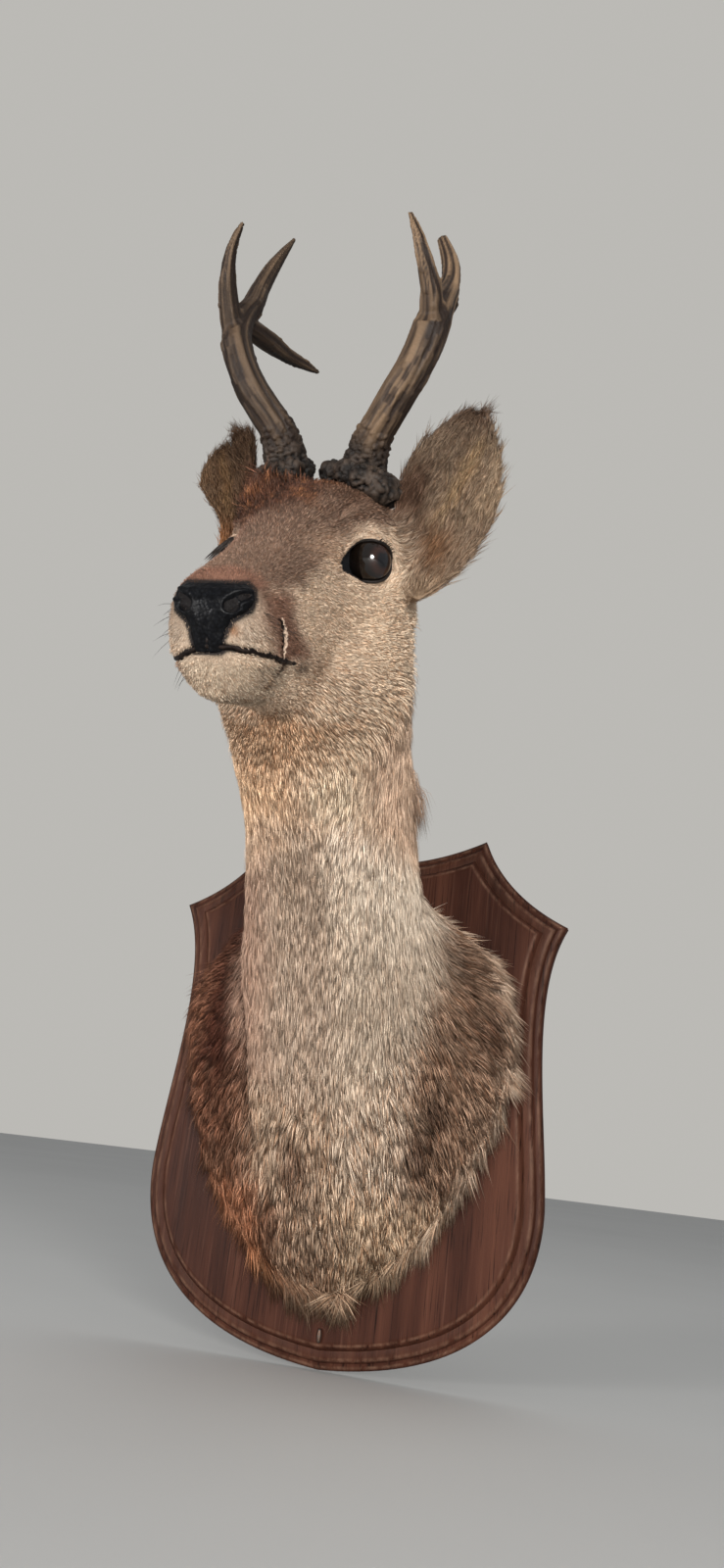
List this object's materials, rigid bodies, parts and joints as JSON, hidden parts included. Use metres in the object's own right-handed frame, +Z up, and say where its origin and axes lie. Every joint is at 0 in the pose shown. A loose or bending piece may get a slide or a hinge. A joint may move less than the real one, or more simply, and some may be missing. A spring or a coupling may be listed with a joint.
{
  "type": "roe deer shoulder mount",
  "caption": "Stuffed head and neck of a roe buck with antlers, mounted on a moulded oak shield board that hangs on a wall.",
  "frame": {"origin": "middle of the board's back face, on the wall plane", "axes": "+X to the deer's left, +Y into the wall, +Z up; the deer faces -Y and its nose dips below level"},
  "size_m": [0.27, 0.3386, 0.6434],
  "materials": {
    "oak": "dark stained oak, satin, with a moulded edge",
    "coat": "short dense deer hair, cream and grey-beige with brown flecks, darker at the sides of the cape",
    "nose": "black painted nose pad, finely pebbled, glossy",
    "eye": "dark brown taxidermy glass, opaque",
    "antler": "dry antler bone, grey-brown with tan worn ridges and a rough burr",
    "staple": "dark iron wire"
  },
  "bodies": {
    "root": {"board": "oak", "staple": "staple", "shoulder": "coat", "neck": "coat", "head": "coat", "nose_pad": "nose", "eye_left": "eye", "eye_right": "eye", "ear_left": "coat", "ear_right": "coat", "antler_left_burr": "antler", "antler_left_beam": "antler", "antler_left_front_tine": "antler", "antler_left_top": "antler", "antler_left_rear_tine": "antler", "antler_right_burr": "antler", "antler_right_beam": "antler", "antler_right_front_tine": "antler", "antler_right_top": "antler", "antler_right_rear_tine": "antler"}
  },
  "joints": []
}
